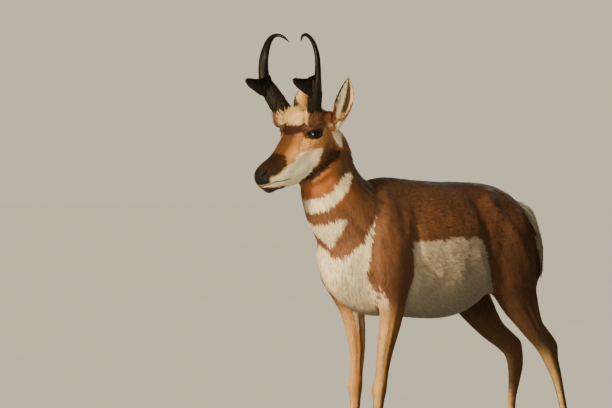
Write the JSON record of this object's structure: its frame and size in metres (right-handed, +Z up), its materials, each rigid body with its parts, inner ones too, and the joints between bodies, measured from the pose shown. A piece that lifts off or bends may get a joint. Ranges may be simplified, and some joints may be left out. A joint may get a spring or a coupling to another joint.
{
  "type": "pronghorn",
  "caption": "Life-size standing pronghorn buck in a still museum pose, with hooked and pronged black horns, upright ears and cloven hooves.",
  "frame": {"origin": "on the floor, under the middle of the whole animal's box, at the level of the hoof soles", "axes": "the animal faces -Y, its left side is +X, and +Z is up"},
  "size_m": [0.2738, 1.233, 1.2717],
  "materials": {
    "coat": "short dense hair, rust tan above and white below",
    "face_coat": "very short hair, rust tan with a dark muzzle and white cheeks",
    "leg_coat": "short sleek sandy hair",
    "ear_coat": "short hair, cream inside and brown behind",
    "horn": "black horn, fibrous below and worn smooth above",
    "hoof": "black hoof horn with a dull shine",
    "eye": "wet black glass-like eye"
  },
  "bodies": {
    "root": {"head": "face_coat", "neck": "coat", "torso": "coat", "tail": "coat", "ear_left": "ear_coat", "ear_right": "ear_coat", "eye_left": "eye", "eye_right": "eye", "horn_left": "horn", "horn_right": "horn", "leg_fore_left": "leg_coat", "leg_fore_right": "leg_coat", "leg_hind_left": "leg_coat", "leg_hind_right": "leg_coat", "hoof_fore_left_outer": "hoof", "hoof_fore_left_inner": "hoof", "hoof_fore_right_outer": "hoof", "hoof_fore_right_inner": "hoof", "hoof_hind_left_outer": "hoof", "hoof_hind_left_inner": "hoof", "hoof_hind_right_outer": "hoof", "hoof_hind_right_inner": "hoof"}
  },
  "joints": []
}
